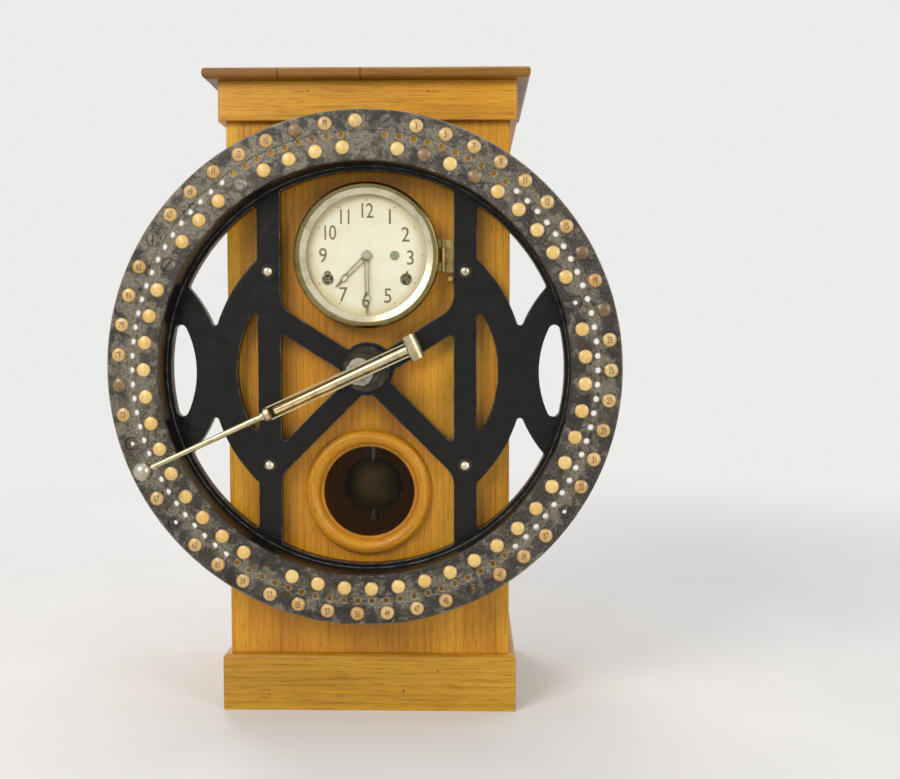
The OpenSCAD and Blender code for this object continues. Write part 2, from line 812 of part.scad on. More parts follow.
// Two rails that straddle the tube, joined by a cross pin that bears on the push rod
module arm_fork() {
    drop = -cross_pin_drop;
    color("silver") on_lever() {
        for (side = [0, 1]) mirror([0, side, 0]) difference() {
            union() {
                across_y(rail_y, rail_out, eye_r);
                translate([0, rail_y, -rail_h / 2]) cube([collar_x + fulcrum_x, rail_t, rail_h]);
                translate([fulcrum_x - 6, rail_y, drop - 3.5]) cube([12, rail_t, -drop]);
            }
            across_y(rail_y - 1, rail_out + 1, fulcrum_pin_r + fit);
        }
        translate([fulcrum_x, 0, drop]) across_y(-rail_out, rail_out, cross_pin_r);
    }
}

module arm_collar() {
    start = collar_x + fulcrum_x;
    color("darkkhaki") on_lever() {
        along_x(start, start + collar_len / 2, rail_out, rail_out);
        along_x(start + collar_len / 2, start + collar_len * 0.75, rail_out, rod_r1 + 2);
        along_x(start + collar_len * 0.75 - eps, start + collar_len, rod_r1 + 2, rod_r1 + 1.5);
    }
}

module arm_rod() {
    start = collar_x + fulcrum_x + collar_len;
    end = guide_circle_r + fulcrum_x - sqrt(ball_r * ball_r - rod_r2 * rod_r2);
    color("silver") on_lever() along_x(start, end, rod_r1, rod_r2);
}

module ball_knob() {
    color("silver") on_lever() translate([guide_circle_r + fulcrum_x, 0, 0]) difference() {
        sphere(ball_r, $fn = 64);
        along_x(-ball_d, -sqrt(ball_r * ball_r - rod_r2 * rod_r2), rod_r2, rod_r2);
        translate([0, 0, -ball_d]) cylinder(h = ball_d - ball_r + 2, r = pin_r);
        translate([0, 0, -ball_r - 1]) cylinder(h = 1.6, r = pin_r + 2);
    }
}

module guide_pin() {
    tip = 3;
    color("silver") on_lever() translate([guide_circle_r + fulcrum_x, 0, 0]) {
        translate([0, 0, -pin_reach + tip]) cylinder(h = pin_reach - tip - ball_r + 2, r = pin_r);
        translate([0, 0, -pin_reach]) cylinder(h = tip + eps, r1 = pin_r - 1.4, r2 = pin_r);
        translate([0, 0, -ball_r - 4]) cylinder(h = 4.6, r = pin_r + 2);
    }
}

// The push rod runs through the spindle from the cross pin to the crank of the type carriage
module push_rod() {
    head = arm_h - cross_pin_drop - cross_pin_r - pass + press_rod;
    tail = -crank_y + pass;
    color("lightgray") on_ring() {
        translate([0, 0, tail]) cylinder(h = head - button_t - tail + eps, r = push_r);
        translate([0, 0, head - button_t]) cylinder(h = button_t, r = push_r + 1.5);
    }
}

// Works inside the case

module rear_bracket() {
    low = ring_z - 20;
    up = crank_z - 8;
    left = type_x - 20;
    right = 22;
    color("darkslategray") difference() {
        union() {
            translate([-inner_w, bracket_y, low]) cube([2 * inner_w, bracket_t, 40]);
            translate([left, bracket_y, ring_z]) cube([right - left, bracket_t, up - ring_z]);
            for (x = [left, right - 6]) translate([x, bracket_y, crank_z - 10])
                cube([6, crank_y + crank_t - bracket_y + 5, 20]);
            for (x = [-inner_w, inner_w - 6]) translate([x, bracket_y - 12, low])
                cube([6, bracket_t + 24, 40]);
        }
        on_ring() translate([0, 0, -bracket_y - bracket_t - 1]) {
            cylinder(h = bracket_t + 2, r = spindle_r + 3);
        }
        translate([left - 1, crank_y + crank_t / 2, crank_z]) rotate([0, 90, 0])
            cylinder(h = right - left + 2, r = 4 + fit);
    }
}

module record_drum() {
    shell = 3;
    holes = 5;
    color("tan") on_ring() translate([0, 0, -drum_back]) {
        tube(drum_len, drum_r, drum_r - shell);
        for (z = [0, drum_len - 4]) translate([0, 0, z]) difference() {
            tube(4, drum_r - shell + eps, spindle_r + fit);
            for (i = [1 : holes]) rotate(i * 360 / holes) translate([drum_r * 0.58, 0, -1])
                cylinder(h = 6, r = drum_r * 0.22);
        }
        tube(12, spindle_r + 7, spindle_r + fit);
        translate([0, 0, drum_len - 12]) tube(12, spindle_r + 7, spindle_r + fit);
    }
}

module paper_sheet() {
    margin = 7;
    color("ivory") on_ring() translate([0, 0, -drum_back + margin])
        tube(drum_len - 2 * margin, drum_r + fit + paper_t, drum_r + fit);
}

module movement_plates() {
    half = arbor_x + barrel_r + 6;
    low = -arbor_drop - barrel_r - 6;
    high = pendulum_z - dial_z + 14;
    color("goldenrod") for (y = [movement_y, movement_y + plate_t + movement_gap]) difference() {
        union() {
            on_dial() translate([-half, low, -y - plate_t]) cube([2 * half, high - low, plate_t]);
            if (y == movement_y) on_dial() rotate(motion_way)
                translate([motion_distance, 0, -y - plate_t / 2]) cylinder(h = 16 + plate_t / 2, r = 2);
        }
        on_dial() translate([0, 0, -y - plate_t - 1]) cylinder(h = plate_t + 2, r = centre_r + fit);
        for (x = [-arbor_x, arbor_x]) on_dial() translate([x, -arbor_drop, -y - plate_t - 1])
            cylinder(h = plate_t + 2, r = arbor_r + fit);
        on_dial() translate([0, pendulum_z - dial_z, -y - plate_t - 1])
            cylinder(h = plate_t + 2, r = 2 + fit);
    }
}

module movement_pillars() {
    half = arbor_x + barrel_r;
    color("darkgoldenrod") for (x = [-half, half], z = [-arbor_drop - barrel_r, pendulum_z - dial_z + 6]) {
        on_dial() translate([x, z, -movement_y - plate_t - movement_gap]) cylinder(h = movement_gap, r = 5);
        on_dial() translate([x, z, -movement_y]) cylinder(h = movement_y - board_t, r = 4);
    }
}

module winding_arbor(side) {
    collar_t = 2;
    tail = movement_back + pass + collar_t;
    color("goldenrod") on_dial() translate([side * arbor_x, -arbor_drop, 0]) {
        translate([0, 0, -tail]) cylinder(h = tail + dial_face - 12, r = arbor_r);
        translate([-3, -3, dial_face - 12 - eps]) cube([6, 6, 9]);
        translate([0, 0, -tail]) cylinder(h = collar_t, r = arbor_r + 3);
    }
}

module winding_arbor_left() {
    winding_arbor(-1);
}

module winding_arbor_right() {
    winding_arbor(1);
}

module spring_barrel(side) {
    way = side < 0 ? left_way : right_way;
    phase = mesh_phase(centre_phase, pinion_teeth, barrel_teeth, way);
    box_r = barrel_r - 4;
    color("goldenrod") on_dial() translate([side * arbor_x, -arbor_drop, -movement_y - plate_t]) {
        difference() {
            union() {
                translate([0, 0, -5]) gear(barrel_teeth, barrel_module, 4, arbor_r - 1, phase);
                translate([0, 0, -22]) cylinder(h = 18, r = box_r);
            }
            translate([0, 0, -23]) cylinder(h = 24, r = arbor_r + fit);
        }
    }
}

module spring_barrel_left() {
    spring_barrel(-1);
}

module spring_barrel_right() {
    spring_barrel(1);
}

module centre_wheel() {
    color("goldenrod") on_dial() {
        translate([0, 0, -train_y - train_t])
            cylinder(h = train_y + train_t + minute_h + hand_t, r = centre_r);
        translate([0, 0, -movement_y - plate_t - 6])
            gear(pinion_teeth, barrel_module, 6 - pass, centre_r - eps, centre_phase);
        translate([0, 0, -movement_y + pass])
            gear(cannon_teeth, cannon_module, 5, centre_r - eps, cannon_phase);
        translate([0, 0, -train_y - train_t])
            gear(type_teeth, 2 * type_spacing / (2 * type_teeth), train_t, centre_r - eps, type_way);
    }
}

module minute_wheel() {
    color("goldenrod") on_dial() rotate(motion_way) translate([motion_distance, 0, -movement_y]) {
        rotate(-motion_way) {
            translate([0, 0, 1]) gear(minute_teeth, cannon_module, 3, 2 + fit, minute_wheel_phase);
            translate([0, 0, 4 - eps])
                gear(minute_pinion_teeth, hour_module, 8, 2 + fit, minute_wheel_phase);
        }
    }
}

module pendulum_rod() {
    low = window_z - bob_r - 16;
    gap = sqrt(loop_r * loop_r - pendulum_r * pendulum_r);
    color("silver") {
        translate([0, pendulum_y, pendulum_z]) rotate([90, 0, 0]) cylinder(h = pendulum_y - movement_y - 1, r = 2);
        translate([0, pendulum_y, ring_z + gap]) cylinder(h = pendulum_z - ring_z - gap, r = pendulum_r);
        translate([0, pendulum_y, low]) cylinder(h = ring_z - gap - low, r = pendulum_r);
        on_ring() translate([0, 0, -pendulum_y - 2.5]) tube(5, loop_r + loop_w, loop_r);
        translate([0, pendulum_y + 4, pendulum_z]) rotate([90, 0, 0]) cylinder(h = 8, r = 5);
    }
}

module pendulum_bob() {
    half = 11;
    ball = (bob_r * bob_r + half * half) / (2 * half);
    color("gold") {
        difference() {
            translate([0, pendulum_y, window_z]) rotate([90, 0, 0]) rotate_extrude() intersection() {
                translate([0, half - ball]) circle(ball, $fn = 360);
                translate([0, ball - half]) circle(ball, $fn = 360);
                translate([0, -half]) square([bob_r, 2 * half]);
            }
            translate([0, pendulum_y, window_z - bob_r - 2])
                cylinder(h = 2 * bob_r + 4, r = pendulum_r + 0.02);
        }
        translate([0, pendulum_y, window_z - bob_r - 8]) tube(7, 8, pendulum_r + 0.02);
    }
}

// The carriage rocks on the rear bracket and presses the type wheels onto the sheet
module type_carriage() {
    beam_y = drum_y + 20;
    beam_half = 6;
    pivot_y = crank_y + crank_t / 2;
    left = type_x - 20;
    right = 22;
    hangers = [drum_y + 24, drum_y + 84];
    color("steelblue") {
        translate([type_x - beam_half, beam_y, crank_z - 4]) cube([2 * beam_half, pivot_y - beam_y, 8]);
        translate([left + 6 + pass, pivot_y, crank_z]) rotate([0, 90, 0])
            cylinder(h = right - left - 12 - 2 * pass, r = 7);
        translate([left - 1, pivot_y, crank_z]) rotate([0, 90, 0])
            cylinder(h = right - left + 2, r = 4);
        translate([-7, crank_y, ring_z - 10]) cube([14, crank_t, crank_z - ring_z + 10]);
        for (y = hangers) difference() {
            translate([type_x - beam_half, y, type_z - 7]) cube([2 * beam_half, 4, crank_z - type_z + 7]);
            translate([type_x, y - 1, type_z]) rotate([-90, 0, 0]) cylinder(h = 6, r = 3 + fit);
        }
    }
}

// Wheel with raised characters as plain bars, seen as ribs round its rim
module type_ring(y0, width, count, bore) {
    translate([type_x, y0, type_z]) rotate([-90, 0, 0]) {
        difference() {
            union() {
                cylinder(h = width, r = type_r - 1);
                for (i = [1 : count]) rotate(i * 360 / count) translate([type_r - 2, -0.5, 1])
                    cube([2, 1, width - 2]);
            }
            translate([0, 0, -1]) cylinder(h = width + 2, r = bore);
        }
    }
}

module minute_type_wheel() {
    phase = mesh_phase(type_way, type_teeth, type_teeth, type_way);
    end = drum_y + 92;
    color("dimgray") {
        translate([type_x, train_y - 1, type_z]) rotate([-90, 0, 0]) cylinder(h = end - train_y + 1, r = 3);
        translate([0, train_y + train_t, 0]) front(type_x, type_z)
            gear(type_teeth, 2 * type_spacing / (2 * type_teeth), train_t, 3 - eps, phase);
        type_ring(drum_y + 34, 12, 30, 3 - eps);
        translate([type_x, drum_y + 88 + pass, type_z]) rotate([-90, 0, 0]) cylinder(h = 3, r = 5);
    }
}

module hour_type_wheel() {
    color("dimgray") type_ring(drum_y + 50, 12, 24, 3 + fit);
}

// Clock dial, hands and bezel

module dial_housing() {
    color("goldenrod") on_dial() difference() {
        union() {
            translate([0, 0, -board_t]) cylinder(h = board_t + housing_face, r = housing_r);
            cylinder(h = 2, r = housing_r + 6);
        }
        translate([0, 0, -board_t - 1])
            cylinder(h = board_t + housing_face + 2, r = housing_r - housing_t);
    }
}

module dial_plate() {
    color("ivory") on_dial() translate([0, 0, housing_face]) difference() {
        cylinder(h = dial_t, r = housing_r - 0.5);
        translate([0, 0, -1]) cylinder(h = dial_t + 2, r = 6);
        for (x = [-arbor_x, arbor_x]) translate([x, -arbor_drop, -1]) cylinder(h = dial_t + 2, r = 8);
    }
}

module dial_port_plug() {
    port_share = 0.46;
    color("darkseagreen") on_dial() translate([port_share * bezel_in_r, 0, dial_face])
        cylinder(h = 0.6, r = 7);
}

// An open-work hand that points up, turned to its place: a hub, a slotted shaft, an open oval eye
// and a slender tip
module hand(length, width, eye, eye_w, eye_len, turned, bore) {
    rail = 1.3;
    slot_end = eye - eye_len / 2 - 0.4;
    difference() {
        rotate(-turned) {
            cylinder(h = hand_t, r = 7);
            linear_extrude(hand_t) polygon([[-width / 2, -1], [-width * 0.42, eye], [-0.6, length],
                [0.6, length], [width * 0.42, eye], [width / 2, -1]]);
            linear_extrude(hand_t) polygon(oval(eye_w / 2, eye_len / 2, eye));
        }
        rotate(-turned) translate([0, 0, -1]) {
            linear_extrude(hand_t + 2) polygon([[-width / 2 + rail, 9], [-width * 0.44 + rail, slot_end],
                [width * 0.44 - rail, slot_end], [width / 2 - rail, 9]]);
            linear_extrude(hand_t + 2) polygon(oval(eye_w / 2 - rail, eye_len / 2 - rail, eye));
        }
        translate([0, 0, -1]) cylinder(h = hand_t + 2, r = bore);
    }
}

function oval(rx, ry, y) = [for (i = [0 : 23]) [rx * sin(15 * i), y + ry * cos(15 * i)]];

module hour_hand() {
    pipe = hour_h + movement_y - 4 - 4;
    color("darkolivegreen") on_dial() {
        translate([0, 0, hour_h])
            hand(hour_len, 7.4, hour_len * 0.71, 9.5, 13, hour_angle, centre_r + fit);
        translate([0, 0, hour_h - pipe]) tube(pipe + eps, 4.6, centre_r + fit);
        translate([0, 0, -movement_y + 8]) gear(hour_teeth, hour_module, 3, centre_r + fit, hour_wheel_phase);
    }
}

module minute_hand() {
    color("darkolivegreen") on_dial() translate([0, 0, minute_h])
        hand(minute_len, 7.4, minute_len * 0.74, 10.5, 19, minute_angle, centre_r);
}

module hand_nut() {
    color("goldenrod") on_dial() translate([0, 0, minute_h + hand_t]) cylinder(h = 1.6, r1 = 7, r2 = 5.5);
}

module bezel() {
    back = housing_face - 1;
    wall = housing_r + 2.5;
    lip = dial_face + 0.8;
    color("khaki") {
        on_dial() rotate_extrude($fn = 160) polygon([
            [wall, back], [bezel_r - 1, back], [bezel_r, back + 1], [bezel_r, bezel_face - 5],
            [bezel_r - 1.5, bezel_face - 1.5], [bezel_r - 4, bezel_face], [bezel_r - 8, bezel_face - 0.5],
            [bezel_r - 9, bezel_face - 3], [bezel_in_r + 3, bezel_face - 5], [bezel_in_r, bezel_face - 6],
            [bezel_in_r, bezel_face - 7.5], [bezel_in_r + 5.5, bezel_face - 7.5],
            [bezel_in_r + 5.5, lip], [wall, lip]]);
        on_dial() for (side = [-1, 1]) difference() {
            translate([0, side * hinge_len * 0.36, 0]) union() {
                translate([sqrt(bezel_r * bezel_r - hinge_len * hinge_len / 4) - 2, -6, hinge_h - 1.5])
                    cube([hinge_x - sqrt(bezel_r * bezel_r - hinge_len * hinge_len / 4) + 2, 12, 3]);
                translate([hinge_x, 0, hinge_h]) across_y(-6, 6, knuckle_r);
            }
            translate([hinge_x, 0, hinge_h]) across_y(-hinge_len, hinge_len, knuckle_r / 2 + fit);
            cylinder(h = bezel_face, r = wall, $fn = 160);
        }
    }
}

module bezel_glass() {
    color("lightcyan", 0.35) on_dial() translate([0, 0, bezel_face - 7.5 - 2])
        cylinder(h = 2 - fit, r = bezel_in_r + 5);
}

module bezel_hinge() {
    half = hinge_len / 2;
    free = hinge_len * 0.36 - 6;
    color("darkkhaki") on_dial() {
        translate([hinge_x + 1.5, -half, 0]) cube([leaf_end - hinge_x - 1.5, hinge_len, leaf_t]);
        translate([hinge_x + 1.5, -free + pass, 0]) cube([leaf_t, 2 * (free - pass), hinge_h]);
        translate([hinge_x, 0, hinge_h]) {
            across_y(-free + pass, free - pass, knuckle_r);
            across_y(-half, half, knuckle_r / 2);
        }
    }
}

// Stud on the case front, under the hinge, that stops the opened bezel
module bezel_stop() {
    head_t = 4;
    color("goldenrod") on_dial() translate([stop_x, -stop_drop, 0]) {
        cylinder(h = bezel_face - head_t, r = 2.5);
        translate([0, 0, bezel_face - head_t - eps]) cylinder(h = head_t, r = 3.5);
    }
}

plinth();
base_board();
side_board_left();
side_board_right();
front_panel();
window_moulding();
window_glass();
cornice();
cap();
back_door();
case_hinge_leaves();
door_hinge_leaves();
door_latch();
number_ring();
ring_frame();
frame_fixings();
outer_plugs();
inner_plugs();
worn_plugs();
ring_screws();
spindle_bushes();
spindle();
hub_disc();
arm_yoke();
yoke_screws();
fulcrum_barrel();
fulcrum_pin();
arm_tube();
arm_fork();
arm_collar();
arm_rod();
ball_knob();
guide_pin();
push_rod();
rear_bracket();
record_drum();
paper_sheet();
dial_housing();
dial_plate();
dial_port_plug();
hour_hand();
minute_hand();
hand_nut();
bezel();
bezel_glass();
bezel_hinge();
bezel_stop();
winding_arbor_left();
winding_arbor_right();
movement_plates();
movement_pillars();
spring_barrel_left();
spring_barrel_right();
centre_wheel();
minute_wheel();
pendulum_rod();
pendulum_bob();
type_carriage();
minute_type_wheel();
hour_type_wheel();
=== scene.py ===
import math
import bpy
import bmesh
from mathutils import Matrix, Vector


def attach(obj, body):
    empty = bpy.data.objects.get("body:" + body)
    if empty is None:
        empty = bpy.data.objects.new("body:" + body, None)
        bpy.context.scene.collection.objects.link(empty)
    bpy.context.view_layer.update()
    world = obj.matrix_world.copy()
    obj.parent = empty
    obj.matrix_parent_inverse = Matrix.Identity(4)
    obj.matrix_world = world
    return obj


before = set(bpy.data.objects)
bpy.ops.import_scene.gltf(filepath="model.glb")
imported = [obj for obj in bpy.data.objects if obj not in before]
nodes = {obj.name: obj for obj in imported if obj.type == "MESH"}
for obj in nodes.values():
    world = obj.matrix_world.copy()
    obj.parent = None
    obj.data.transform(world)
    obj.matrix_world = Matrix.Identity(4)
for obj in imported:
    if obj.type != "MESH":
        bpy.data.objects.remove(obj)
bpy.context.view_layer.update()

# Sizes and places in metres, with z from the ground and each front from the front of the case's boards
RING_Z = 0.519
RING_FRONT = 0.070
EDGE_START = 0.3678
EDGE_END = 0.369
GUIDE_ROW = 0.335
HOLE_REACH = 0.01
OUTER_ROW = 0.3533
PLACES = 102
STEP = 2 * math.pi / PLACES
PLUG_R = 0.01025
PLUG_TOP = 0.0734
DOME_H = 0.003
NO_PLUG = {1, 4, 8, 17, 20, 21, 35, 43, 58, 65, 71, 75, 84, 85, 92, 97}
DIAL_Z = 0.686
DIAL_FRONT = 0.0185
DIAL_REACH = 0.1
DOT_ROW = 0.0815
WINDING_X = 0.05785
WINDING_DROP = 0.03471
NUT_FOOT = 0.0237
WINDOW_Z = 0.333
BOARD_FRONT = 0.0105
AIM = (0, 0, 0.5)
BACKGROUND = (0.84, 0.835, 0.82)


# Graphs of nodes for the materials and the world

class Graph:
    """The shader nodes of one material, or of the world."""

    def __init__(self, owner):
        owner.use_nodes = True
        self.tree = owner.node_tree

    def give(self, socket, value):
        if isinstance(value, bpy.types.NodeSocket):
            self.tree.links.new(value, socket)
        elif isinstance(value, tuple) and socket.type == "RGBA":
            socket.default_value = (*value, 1)
        else:
            socket.default_value = value

    def node(self, kind, values=None, **settings):
        """A new node with these settings, whose inputs get these values or links."""
        made = self.tree.nodes.new(kind)
        for key, value in settings.items():
            setattr(made, key, value)
        for label, value in (values or {}).items():
            self.give(made.inputs[label], value)
        return made

    def math(self, kind, *values):
        return self.node("ShaderNodeMath", dict(enumerate(values)), operation=kind).outputs[0]

    def times(self, a, b):
        return self.math("MULTIPLY", a, b)

    def plus(self, a, b):
        return self.math("ADD", a, b)

    def minus(self, a, b):
        return self.math("SUBTRACT", a, b)

    def size(self, a):
        return self.math("ABSOLUTE", a)

    def length(self, a, b):
        return self.math("SQRT", self.plus(self.times(a, a), self.times(b, b)))

    def span(self, value, start, end, low, high, kind="LINEAR"):
        """Goes from low to high while the value goes from start to end."""
        values = {"Value": value, "From Min": start, "From Max": end, "To Min": low, "To Max": high}
        return self.node("ShaderNodeMapRange", values, interpolation_type=kind).outputs["Result"]

    def seen(self):
        """1 for rays from the camera, from glossy faces and through glass, and 0 for others."""
        rays = self.node("ShaderNodeLightPath").outputs
        direct = self.math("MAXIMUM", rays["Is Camera Ray"], rays["Is Transmission Ray"])
        return self.math("MAXIMUM", direct, rays["Is Glossy Ray"])

    def show(self, output, fac, first, second):
        """Shows the first shader where fac is 0 and the second where it is 1."""
        mixed = self.node("ShaderNodeMixShader", {0: fac, 1: first.outputs[0], 2: second.outputs[0]})
        self.give(self.tree.nodes[output].inputs["Surface"], mixed.outputs[0])


class Paint(Graph):
    """A material drawn in the part's own metres, with the y axis from front to back."""

    def __init__(self, name, rough, metallic=0.0, coat=0.0, level=0.5):
        self.mat = bpy.data.materials.new(name)
        super().__init__(self.mat)
        self.shader = self.tree.nodes["Principled BSDF"]
        start = {"Roughness": rough, "Metallic": metallic, "Coat Weight": coat, "Coat Roughness": 0.12,
                 "Specular IOR Level": level}
        for label, value in start.items():
            self.give(self.shader.inputs[label], value)

    def coords(self, scale=(1, 1, 1), shift=(0, 0, 0)):
        place = self.node("ShaderNodeTexCoord").outputs["Object"]
        moved = self.node("ShaderNodeMapping", {"Vector": place, "Location": shift, "Scale": scale})
        return moved.outputs["Vector"]

    def sides(self, shift=(0, 0, 0)):
        return self.node("ShaderNodeSeparateXYZ", {0: self.coords(shift=shift)}).outputs

    def radius(self, z):
        """Distance from an axis that runs front to back at height z."""
        sides = self.sides((0, 0, -z))
        return self.length(sides[0], sides[2])

    def wound(self, z, turn):
        """Coordinates that follow the circles round such an axis."""
        sides = self.sides((0, 0, -z))
        angle = self.math("ARCTAN2", sides[2], sides[0])
        radius = self.length(sides[0], sides[2])
        joined = self.node("ShaderNodeCombineXYZ", {0: radius, 1: sides[1], 2: self.times(angle, turn)})
        return joined.outputs[0]

    def noise(self, scale, detail, rough=0.55, warp=0.0, at=None):
        values = {"Vector": at or self.coords(), "Scale": scale, "Detail": detail, "Roughness": rough,
                  "Distortion": warp}
        return self.node("ShaderNodeTexNoise", values).outputs["Fac"]

    def ramp(self, fac, stops):
        made = self.node("ShaderNodeValToRGB", {"Fac": fac})
        elements = made.color_ramp.elements
        while len(elements) < len(stops):
            elements.new(0.5)
        for element, (place, tone) in zip(elements, stops):
            element.position = place
            element.color = (*tone, 1) if isinstance(tone, tuple) else (tone, tone, tone, 1)
        return made.outputs["Color"]

    def slope(self, fac, start, end, low=0.0, high=1.0):
        return self.ramp(fac, [(start, low), (end, high)])

    def mix(self, fac, a, b, kind="MIX"):
        made = self.node("ShaderNodeMix", {"Factor": fac, 6: a, 7: b}, data_type="RGBA", blend_type=kind)
        return made.outputs[2]

    def stain(self, amount, tone, fac, *stops):
        """Darkens the tone by a ramp over fac."""
        return self.mix(amount, tone, self.ramp(fac, stops), "MULTIPLY")

    def soft_normal(self, width):
        return self.node("ShaderNodeBevel", {"Radius": width}, samples=6).outputs["Normal"]

    def edges(self, width):
        """1 on the sharp edges and 0 on the faces between them."""
        normals = {0: self.soft_normal(width), 1: self.node("ShaderNodeNewGeometry").outputs["Normal"]}
        match = self.node("ShaderNodeVectorMath", normals, operation="DOT_PRODUCT")
        return self.slope(match.outputs["Value"], 0.82, 0.97, 1.0, 0.0)

    def colour(self, value):
        self.give(self.shader.inputs["Base Color"], value)

    def gloss(self, fac, low, high):
        self.give(self.shader.inputs["Roughness"], self.span(fac, 0.3, 0.7, low, high))

    def bump(self, height, strength, distance, edge=None):
        """Relief, and a soft look for the sharp edges where edge is their width."""
        values = {"Strength": strength, "Distance": distance, "Height": height}
        if edge:
            values["Normal"] = self.soft_normal(edge)
        self.give(self.shader.inputs["Normal"], self.node("ShaderNodeBump", values).outputs["Normal"])


# Materials

OAK = {"body": ((0.44, 0.185, 0.008), (0.7, 0.335, 0.013), (0.86, 0.47, 0.03)),
       "panel": ((0.38, 0.145, 0.006), (0.64, 0.28, 0.01), (0.8, 0.4, 0.022)),
       "plinth": ((0.34, 0.165, 0.008), (0.57, 0.305, 0.018), (0.74, 0.44, 0.045)),
       "cap": ((0.11, 0.042, 0.004), (0.24, 0.1, 0.009), (0.4, 0.19, 0.02))}


def wood(name, tones, along="z", round_z=None, seams=(), aged=(0.7, 0.5, 0.34)):
    """Varnished oak with its grain along an axis, or round the axis at height round_z."""
    dark, mid, light = tones
    streak = (0.62, 0.5, 0.38)
    pore = (0.3, 0.18, 0.1)
    gap = (0.03, 0.015, 0.008)
    half_gap = 0.0009
    stretch = 0.045
    p = Paint(name, rough=0.4, coat=0.1, level=0.35)
    if round_z:
        grain = p.wound(round_z, 0.012)
    else:
        grain = p.coords({"z": (1, 1, stretch), "x": (stretch, 1, 1)}[along])
    broad = p.noise(13, 3, 0.5, 0.3, at=grain)
    waves = {"Vector": grain, "Scale": 26, "Distortion": 5, "Detail": 3, "Detail Scale": 1.2}
    figure = p.node("ShaderNodeTexWave", waves, wave_type="BANDS", wave_profile="SAW",
                    bands_direction={"z": "X", "x": "Z"}[along])
    fine = p.noise(210, 5, 0.6, at=grain)
    pores = p.noise(780, 2, 0.5, at=grain)
    tone = p.ramp(broad, [(0.3, dark), (0.52, mid), (0.74, light)])
    tone = p.mix(0.26, tone, p.ramp(figure.outputs["Fac"], [(0.0, light), (0.75, mid), (1.0, dark)]))
    tone = p.stain(0.5, tone, fine, (0.36, streak), (0.5, 1.0))
    tone = p.stain(0.5, tone, pores, (0.32, pore), (0.43, 1.0))
    tone = p.stain(0.35, tone, p.noise(5, 4, 0.6), (0.34, aged), (0.62, 1.0))
    for seam in seams:
        off = p.size(p.minus(p.sides()[0], seam))
        tone = p.mix(p.math("LESS_THAN", off, half_gap), tone, gap)
    p.colour(tone)
    p.gloss(fine, 0.5, 0.3)
    p.bump(p.plus(p.times(pores, 0.6), p.times(fine, 0.4)), 0.22, 0.0006, 0.003)
    return p.mat


def iron():
    """The number ring: dark paint, worn to the metal at the holes and along their row, with a painted
    highlight along the outer edge and a painted sheen towards the upper left.
    """
    dark = [(0.36, (0.013, 0.011, 0.009)), (0.54, (0.032, 0.026, 0.019)), (0.74, (0.1, 0.08, 0.05))]
    rubbed = (0.26, 0.21, 0.13)
    brushed = (0.26, 0.2, 0.12)
    bared = [(0.4, (0.1, 0.085, 0.055)), (0.62, (0.3, 0.27, 0.2))]
    greyed = (0.2, 0.18, 0.15)
    hole_rim = (0.42, 0.35, 0.22)
    edge_glint = (0.42, 0.36, 0.24)
    p = Paint("ring_iron", rough=0.42, metallic=0.2)
    sides = p.sides((0, 0, -RING_Z))
    radius = p.length(sides[0], sides[2])
    circles = p.wound(RING_Z, 0.07)
    off_row = p.minus(radius, GUIDE_ROW)
    patches = p.noise(26, 8, 0.72, 0.6)
    clouds = p.noise(42, 9, 0.74, 0.4, at=p.coords(shift=(0.4, 0, 0.2)))
    wide = p.noise(3.2, 2, 0.5)
    scratches = p.noise(330, 6, 0.75, at=circles)
    specks = p.noise(300, 6, 0.72)
    tone = p.ramp(patches, dark)

    # Rubbed patches and the trail of the pin along the row of holes
    broad = p.plus(p.times(patches, 0.6), p.times(wide, 0.5))
    worn = p.times(p.slope(specks, 0.52, 0.62), p.slope(broad, 0.5, 0.64))
    tone = p.mix(p.times(worn, 0.5), tone, rubbed)
    trail = p.slope(p.size(off_row), 0.004, 0.011, 1.0, 0.0)
    tone = p.mix(p.times(trail, p.slope(scratches, 0.5, 0.6, high=0.75)), tone, brushed)

    # Bare metal, more of it near the holes; the extra bare-metal tone towards the upper left is a painted
    # sheen where the light falls
    near = p.slope(p.size(off_row), 0.006, 0.022, 0.075, 0.0)
    lit_upper_left = p.span(p.minus(sides[2], sides[0]), -0.2, 0.5, 0.0, 0.055)
    bare_metal_and_sheen = p.slope(p.plus(p.plus(clouds, near), lit_upper_left), 0.52, 0.62)
    tone = p.mix(p.times(bare_metal_and_sheen, 0.85), tone, p.ramp(specks, bared))
    dust = p.times(p.slope(wide, 0.42, 0.62), p.slope(specks, 0.45, 0.7, high=0.35))
    tone = p.mix(dust, tone, greyed)

    # Bright rims round the guide holes, but not at the two places at the top, which have none
    first_hole = 1.1
    turn = p.math("DIVIDE", p.math("ARCTAN2", sides[0], sides[2]), STEP)
    along = p.times(p.times(p.minus(p.math("FRACT", turn), 0.5), STEP), radius)
    hole = p.times(p.length(along, off_row), 1 / HOLE_REACH)
    rim = p.ramp(hole, [(0.36, 0.0), (0.4, 1.0), (0.47, 0.8), (0.54, 0.0)])
    rim = p.times(rim, p.math("GREATER_THAN", p.size(turn), first_hole))
    tone = p.mix(p.times(rim, 0.75), tone, hole_rim)

    # Painted highlight: a bright line along the outer edge, broken by noise
    edge = p.slope(radius, EDGE_START, EDGE_END)
    glint_breaks = p.slope(p.noise(60, 3, at=circles), 0.38, 0.6, 0.1, 0.9)
    p.colour(p.mix(p.times(edge, glint_breaks), tone, edge_glint))
    p.gloss(patches, 0.3, 0.5)
    p.bump(p.plus(p.plus(p.times(patches, 0.8), specks), p.times(bare_metal_and_sheen, -0.5)), 0.45, 0.0008, 0.0015)
    return p.mat


